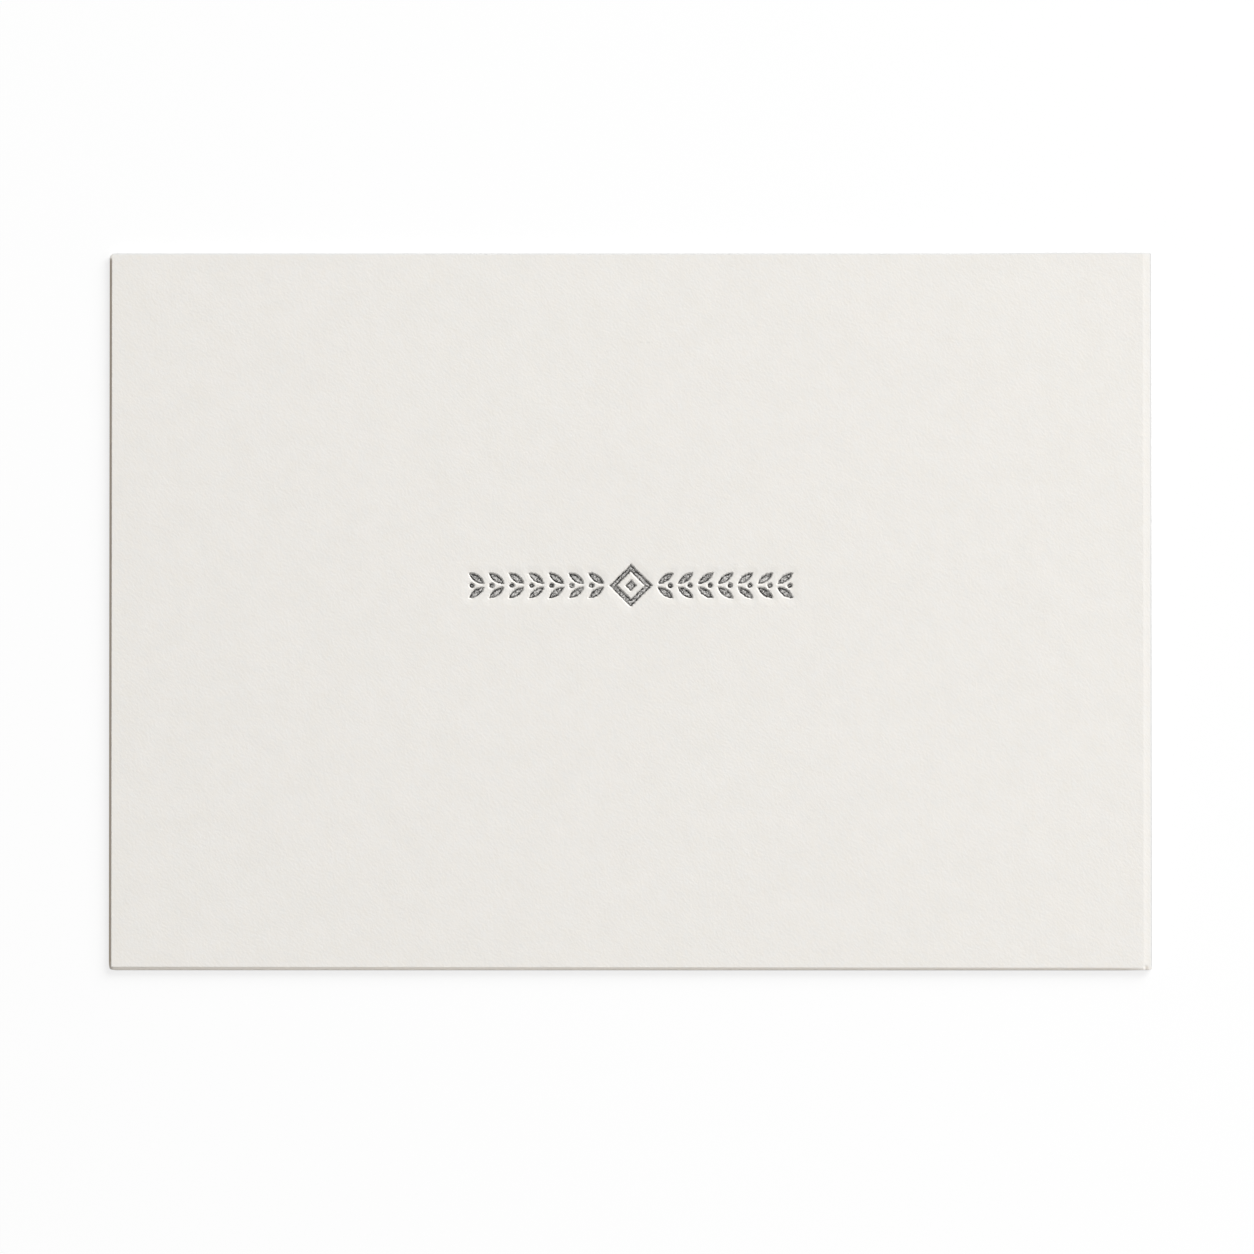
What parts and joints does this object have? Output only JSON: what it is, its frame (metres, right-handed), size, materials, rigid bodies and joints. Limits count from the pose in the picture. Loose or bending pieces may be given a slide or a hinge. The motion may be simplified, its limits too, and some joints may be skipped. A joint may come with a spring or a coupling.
{
  "type": "calling card",
  "caption": "Heavy uncoated calling card: one flat cut sheet with two bevelled edges and a small printed leaf ornament pressed into its face.",
  "frame": {"origin": "the middle of the card's back, on the surface that it lies on", "axes": "+X along the long side, to the right as the card is read; +Y up the card; +Z out of the printed face"},
  "size_m": [0.0888, 0.0618, 0.0006],
  "materials": {
    "card_stock": "uncoated soft white cotton stock, matt"
  },
  "bodies": {
    "root": {"card": "card_stock"}
  },
  "joints": []
}
